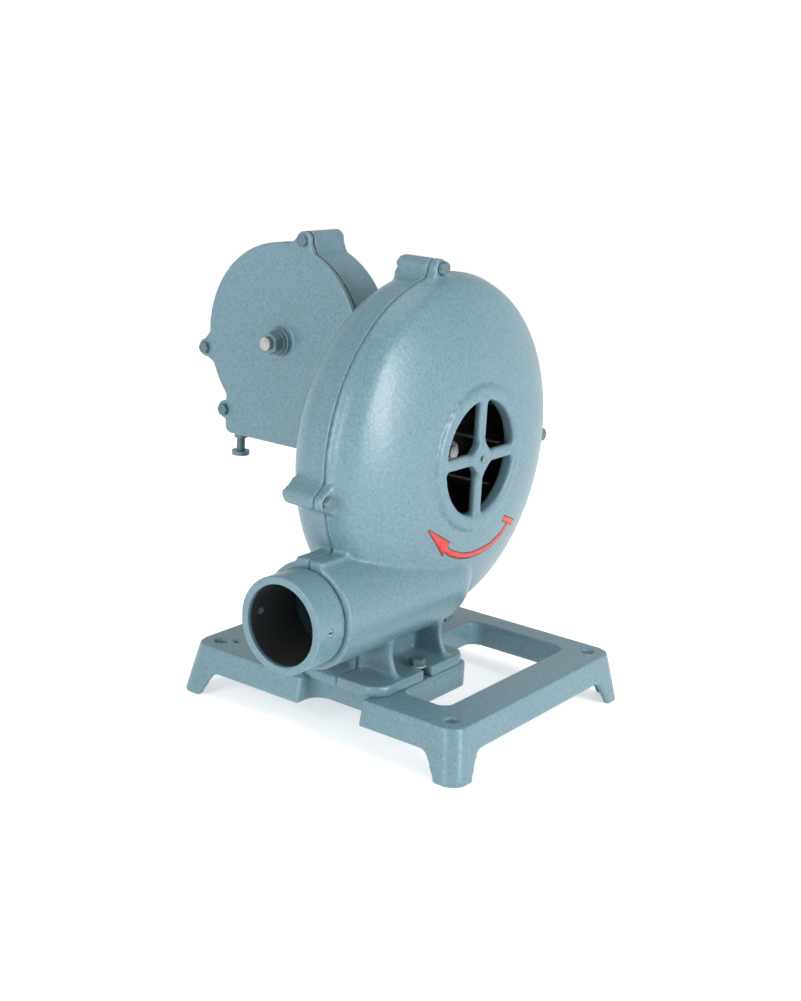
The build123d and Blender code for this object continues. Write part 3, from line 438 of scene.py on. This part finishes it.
def looseParts(node):
    bm = mergedShape(node)
    left = set(bm.verts)
    boxes = []
    while left:
        group, stack = [], [left.pop()]
        while stack:
            vert = stack.pop()
            group.append(vert.co.copy())
            for edge in vert.link_edges:
                other = edge.other_vert(vert)
                if other in left:
                    left.remove(other)
                    stack.append(other)
        low = Vector([min(co[i] for co in group) for i in range(3)])
        high = Vector([max(co[i] for co in group) for i in range(3)])
        boxes.append((low, high))
    bm.free()
    return sorted(boxes, key=lambda box: tuple(round(c, 5) for c in box[0]))


# a turned shape from rows of height, radius and whether the six flats cut it
def turnedMesh(name, rows, flats):
    bm = bmesh.new()
    rings = []
    for z, radius, isHex in rows:
        ring = []
        for k in range(templateSteps):
            angle = 2 * math.pi * k / templateSteps
            reach = radius
            if isHex:
                wedge = (angle + math.pi / 6) % (math.pi / 3) - math.pi / 6
                reach = min(radius, flats / 2 / math.cos(wedge))
            ring.append(bm.verts.new((reach * math.cos(angle) * mm, reach * math.sin(angle) * mm, z * mm)))
        rings.append(ring)
    for under, over in zip(rings, rings[1:]):
        for k in range(templateSteps):
            after = (k + 1) % templateSteps
            bm.faces.new((under[k], under[after], over[after], over[k]))
    bm.faces.new(list(reversed(rings[0])))
    bm.faces.new(rings[-1])
    return meshFrom(bm, name)


def threadRows(low, high, radius):
    start = low + thread["tip"]
    crest = radius - thread["crestDrop"]
    rows = [(low, radius - thread["tipDrop"], False), (start, radius - thread["startDrop"], False)]
    while start + thread["pitch"] < high:
        rows.append((start + thread["pitch"] / 2, radius - thread["depth"], False))
        rows.append((start + thread["pitch"], crest, False))
        start += thread["pitch"]
    return rows + [(high, crest, False)]


def cornerOf(flats):
    return flats / 2 / math.cos(math.pi / 6)


# z = 0 is the face that bears on the casting: the head is above it and the shank below
def boltRows(flats, head, radius, reach):
    corner = cornerOf(flats)
    washerFace = [(-0.02, radius, False), (-0.01, flats * 0.47, False), (0.28, flats * 0.49, False)]
    sides = [(0.30, corner - 0.35, True), (0.55, corner, True), (head - 1.0, corner, True)]
    crown = [(head - 0.35, corner - 0.45, True), (head - 0.05, flats * 0.47, True),
             (head, flats * 0.43, False)]
    return threadRows(-reach, -thread["neck"], radius) + washerFace + sides + crown


def nutRows(flats, height, radius):
    corner = cornerOf(flats)
    lower = [(0.0, radius + 0.1, False), (0.01, flats * 0.46, False), (0.45, corner - 0.25, True)]
    sides = [(0.95, corner, True), (height - 0.95, corner, True), (height - 0.4, corner - 0.3, True)]
    mouth = [(height - 0.02, flats * 0.47, False), (height - 0.01, radius + 0.6, False),
             (height - 0.5, radius + 0.1, False)]
    return lower + sides + mouth


# a copy of the template on each point, aimed by the points and turned a random way about its own axis
def fastenerTree(name):
    tree = bpy.data.node_groups.new(name, "GeometryNodeTree")
    for label, way, kind in (
            ("Geometry", "INPUT", "NodeSocketGeometry"), ("Template", "INPUT", "NodeSocketObject"),
            ("Finish", "INPUT", "NodeSocketMaterial"), ("Turn", "INPUT", "NodeSocketFloat"),
            ("Geometry", "OUTPUT", "NodeSocketGeometry")):
        tree.interface.new_socket(label, in_out=way, socket_type=kind)
    start = tree.nodes.new("NodeGroupInput").outputs
    info = tree.nodes.new("GeometryNodeObjectInfo")
    place = tree.nodes.new("GeometryNodeInstanceOnPoints")
    aim = tree.nodes.new("GeometryNodeInputNamedAttribute")
    chance = tree.nodes.new("FunctionNodeRandomValue")
    spin = tree.nodes.new("ShaderNodeCombineXYZ")
    rotate = tree.nodes.new("GeometryNodeRotateInstances")
    real = tree.nodes.new("GeometryNodeRealizeInstances")
    coat = tree.nodes.new("GeometryNodeSetMaterial")
    end = tree.nodes.new("NodeGroupOutput")
    aim.data_type = "FLOAT_VECTOR"
    aim.inputs["Name"].default_value = "aim"
    chance.data_type = "FLOAT"
    chance.inputs["Seed"].default_value = fastenerSeed
    least, most = [socket for socket in chance.inputs if socket.type == "VALUE"][:2]
    least.default_value = 0.0
    angle = next(socket for socket in chance.outputs if socket.type == "VALUE")
    for source, target in (
            (start["Geometry"], place.inputs["Points"]), (start["Template"], info.inputs["Object"]),
            (info.outputs["Geometry"], place.inputs["Instance"]),
            (aim.outputs["Attribute"], place.inputs["Rotation"]),
            (place.outputs["Instances"], rotate.inputs["Instances"]),
            (start["Turn"], most), (angle, spin.inputs["Z"]),
            (spin.outputs["Vector"], rotate.inputs["Rotation"]),
            (rotate.outputs["Instances"], real.inputs["Geometry"]),
            (real.outputs["Geometry"], coat.inputs["Geometry"]), (start["Finish"], coat.inputs["Material"]),
            (coat.outputs["Geometry"], end.inputs["Geometry"])):
        tree.links.new(source, target)
    return tree


fastenerNodes = fastenerTree("setFasteners")


def longAxis(facing):
    return max(range(3), key=lambda i: abs(facing[i]))


def lengthOf(node, facing):
    low, high = looseParts(node)[0]
    return (high - low)[longAxis(facing)] / mm


# fromHead: how far the template's z = 0 lies behind the outer face, mm
def setFasteners(node, rows, flats, facing, fromHead):
    aim = Vector(facing).to_track_quat("Z", "X").to_euler()
    template = newObject(node + "_template", turnedMesh(node + "_template", rows, flats))
    along = longAxis(facing)
    points = []
    for low, high in looseParts(node):
        centre = (low + high) / 2
        outerFace = high[along] if facing[along] > 0 else low[along]
        centre[along] = outerFace - facing[along] * fromHead * mm
        points.append(tuple(centre))
    mesh = bpy.data.meshes.new(node + "_set")
    mesh.from_pydata(points, [], [])
    for item in mesh.attributes.new("aim", "FLOAT_VECTOR", "POINT").data:
        item.vector = tuple(aim)
    obj = newObject(node + "_set", mesh)
    modifier = obj.modifiers.new("setFasteners", "NODES")
    modifier.node_group = fastenerNodes
    values = {"Template": template, "Finish": paintedSteel, "Turn": mostTurn}
    for socket in fastenerNodes.interface.items_tree:
        if socket.name in values and socket.in_out == "INPUT":
            modifier[socket.identifier] = values[socket.name]
    bakeModifiers(obj)
    bpy.data.objects.remove(template)
    for face in obj.data.polygons:
        face.use_smooth = False
    standFor(obj, node)
    print("fasteners", node, len(points), len(obj.data.polygons))


for node, size in bolts.items():
    reach = lengthOf(node, size["facing"]) - size["head"]
    rows = boltRows(size["flats"], size["head"], size["radius"], reach)
    setFasteners(node, rows, size["flats"], size["facing"], size["head"])
for node, size in nuts.items():
    height = lengthOf(node, size["facing"])
    setFasteners(node, nutRows(size["flats"], height, size["radius"]), size["flats"], size["facing"], height)

# the painted arrow that shows which way the fan turns, in mm and degrees about the fan's axis
arrow = {
    "centre": [(93.2, -49.3), (94.5, -58.6), (92.7, -69.1), (90.0, -79.4), (88.6, -89.7), (87.3, -100.3),
               (85.7, -111.9), (84.2, -117.5)],
    "tail": [(80.0, -53.0), (104.0, -45.2)],
    "head": [(77.8, -116.3), (84.8, -142.6), (90.3, -117.1)],        # barb, tip, barb
    "halfWidth": 2.3,
    "headExtra": 0.15,
    "headLength": 0.98,        # share of the way to the tip
    "headRows": 15,
    "rowGap": 2.0,
    "sunk": 0.6,        # how far the paint's back lies in the shell
    "layers": {
        # a dark rim round the red paint: a painted shadow of the raised arrow's sides
        "arrowEdge": dict(grow=0.9, thick=0.12, coat="arrowEdgePaint", colour=(0.035, 0.075, 0.095),
                          roughness=0.45),
        "arrowFill": dict(grow=0.0, thick=0.35, coat="arrowRedPaint", colour=(0.62, 0.035, 0.02),
                          roughness=0.35),
    },
}
rayStart = -0.2        # in front of the casing, metres
frontShell = BVHTree.FromObject(castPieces["housing_front"], bpy.context.evaluated_depsgraph_get())


def onDome(spot, lift):
    x = (casing["axis"][0] + spot.x) * mm
    z = (casing["axis"][1] + spot.y) * mm
    hit, normal, _, _ = frontShell.ray_cast(Vector((x, rayStart, z)), Vector((0, 1, 0)))
    return hit + normal * lift * mm


def flatPoint(reach, degrees):
    return Vector((reach * math.cos(math.radians(degrees)), reach * math.sin(math.radians(degrees))))


def denser(points):
    line = [points[0]]
    for start, end in zip(points, points[1:]):
        pieces = max(1, round((end - start).length / arrow["rowGap"]))
        line += [start.lerp(end, k / pieces) for k in range(1, pieces + 1)]
    return line


def strokeSides(polarPoints, half):
    line = denser([flatPoint(*point) for point in polarPoints])
    left, right = [], []
    for k, point in enumerate(line):
        ahead = line[min(k + 1, len(line) - 1)] - line[max(k - 1, 0)]
        across = Vector((-ahead.y, ahead.x)).normalized() * half
        left.append(point + across)
        right.append(point - across)
    return left, right


def headSides(grow):
    barb, tip, otherBarb = [flatPoint(*point) for point in arrow["head"]]
    middle = (barb + otherBarb) / 2
    end = middle.lerp(tip, arrow["headLength"])
    half = (otherBarb - barb).length / 2
    left, right = [], []
    for k in range(arrow["headRows"]):
        share = k / (arrow["headRows"] - 1)
        across = (otherBarb - barb).normalized() * (half * (1 - share) + grow + arrow["headExtra"])
        left.append(middle.lerp(end, share) + across)
        right.append(middle.lerp(end, share) - across)
    return left, right


# a closed strip of paint that follows the dome between two flat lines
def layPaint(bm, sides, thick):
    rows = []
    for a, b in zip(*sides):
        spots = [a.lerp(b, k / 3) for k in range(4)]
        lifts = (-arrow["sunk"], thick)
        rows.append([[bm.verts.new(onDome(spot, lift)) for spot in spots] for lift in lifts])
    for first, second in zip(rows, rows[1:]):
        for layer in (0, 1):
            for k in range(3):
                bm.faces.new((first[layer][k], first[layer][k + 1], second[layer][k + 1], second[layer][k]))
        for k in (0, 3):
            bm.faces.new((first[0][k], first[1][k], second[1][k], second[0][k]))
    for row in (rows[0], rows[-1]):
        for k in range(3):
            bm.faces.new((row[0][k], row[0][k + 1], row[1][k + 1], row[1][k]))


for layerName, layer in arrow["layers"].items():
    bm = bmesh.new()
    half = arrow["halfWidth"] + layer["grow"]
    strokes = [strokeSides(arrow["centre"], half), strokeSides(arrow["tail"], half)]
    for sides in strokes + [headSides(layer["grow"])]:
        layPaint(bm, sides, layer["thick"])
    bmesh.ops.recalc_face_normals(bm, faces=bm.faces)
    obj = newObject(layerName, meshFrom(bm, layerName))
    obj.data.materials.append(plainMatter(layer["coat"], layer["colour"], layer["roughness"]))
    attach(obj, "frame")
print("arrow painted")

# floor, air and lights of the studio, in metres and watts
target = (-0.011, 0.004, 0.141)
studio = {
    "floorHalf": 60.0,
    "floorHeight": -0.046,
    "floorColour": (0.92, 0.92, 0.92),
    "floorGlow": 0.50,
    "horizon": (0.05, (1.0, 1.0, 1.0)),        # height in the sky, and its tone there
    "zenith": (0.75, (0.42, 0.42, 0.42)),
    "lamps": {
        "keyLight": dict(place=(-0.097, -1.69, 0.669), aim=(-0.111, -0.041, 0.255), size=(0.34, 1.3),
                         watts=22.0),
        "sideLight": dict(place=(-1.75, 0.25, 0.55), aim=target, size=(0.6, 1.3), watts=17.0),
        "fillLight": dict(place=(0.3, -1.8, 0.8), aim=target, size=(0.8, 1.2), watts=2.5),
        "topLight": dict(place=(0.2, 0.2, 1.9), aim=target, size=(1.2, 1.2), watts=7.0),
    },
}
bm = bmesh.new()
bmesh.ops.create_grid(bm, x_segments=1, y_segments=1, size=studio["floorHalf"])
floor = newObject("paleFloor", meshFrom(bm, "paleFloor"), smooth=False)
floorShader = Shader("paleFloorFinish")
floor.data.materials.append(floorShader.finish(studio["floorColour"], 0.95, specular=0.05))
floorShader.surface.inputs["Emission Color"].default_value = (1.0, 1.0, 1.0, 1.0)
floorShader.surface.inputs["Emission Strength"].default_value = studio["floorGlow"]
floor.location.z = studio["floorHeight"]

world = bpy.data.worlds.new("studioAir")
bpy.context.scene.world = world
world.use_nodes = True
air = world.node_tree
sky = air.nodes["Background"]
sky.inputs["Strength"].default_value = 1.0
skyCoords = air.nodes.new("ShaderNodeTexCoord")
skySplit = air.nodes.new("ShaderNodeSeparateXYZ")
skyRamp = air.nodes.new("ShaderNodeValToRGB")
for element, (height, tone) in zip(skyRamp.color_ramp.elements, (studio["horizon"], studio["zenith"])):
    element.position = height
    element.color = (*tone, 1.0)
air.links.new(skyCoords.outputs["Generated"], skySplit.inputs["Vector"])
air.links.new(skySplit.outputs["Z"], skyRamp.inputs["Fac"])
air.links.new(skyRamp.outputs["Color"], sky.inputs["Color"])

for lampName, setting in studio["lamps"].items():
    lamp = bpy.data.lights.new(lampName, "AREA")
    lamp.shape = "RECTANGLE"
    lamp.size, lamp.size_y = setting["size"]
    lamp.energy = setting["watts"]
    lampObject = bpy.data.objects.new(lampName, lamp)
    bpy.context.scene.collection.objects.link(lampObject)
    lampObject.location = setting["place"]
    towards = Vector(setting["aim"]) - Vector(setting["place"])
    lampObject.rotation_euler = towards.to_track_quat("-Z", "Y").to_euler()

# the camera stands where the photograph was taken from
camera = {
    "place": (-1.0911, -0.7751, 0.5079),
    "right": (0.59640626, -0.80074128, 0.05579404),
    "up": (0.18099587, 0.20187689, 0.96254154),
    "back": (-0.78201027, -0.56396731, 0.26533151),
    "focalPixels": 1561.2,
    "principal": (403.9, 498.2),
    "imageSize": (801, 1001),
    "sensor": 36.0,
    "clip": (0.05, 200.0),
}
lens = bpy.data.cameras.new("photoCamera")
cameraObject = bpy.data.objects.new("photoCamera", lens)
bpy.context.scene.collection.objects.link(cameraObject)
turn = Matrix((camera["right"], camera["up"], camera["back"])).transposed().to_4x4()
cameraObject.matrix_world = Matrix.Translation(camera["place"]) @ turn
width, height = camera["imageSize"]
lens.sensor_fit = "VERTICAL"
lens.sensor_height = camera["sensor"]
lens.lens = camera["focalPixels"] / height * lens.sensor_height
lens.shift_x = -(camera["principal"][0] - width / 2) / height
lens.shift_y = (camera["principal"][1] - height / 2) / height
lens.clip_start, lens.clip_end = camera["clip"]
lens.dof.use_dof = False
bpy.context.scene.camera = cameraObject
bpy.context.scene.view_settings.view_transform = "Standard"
print("stage set")
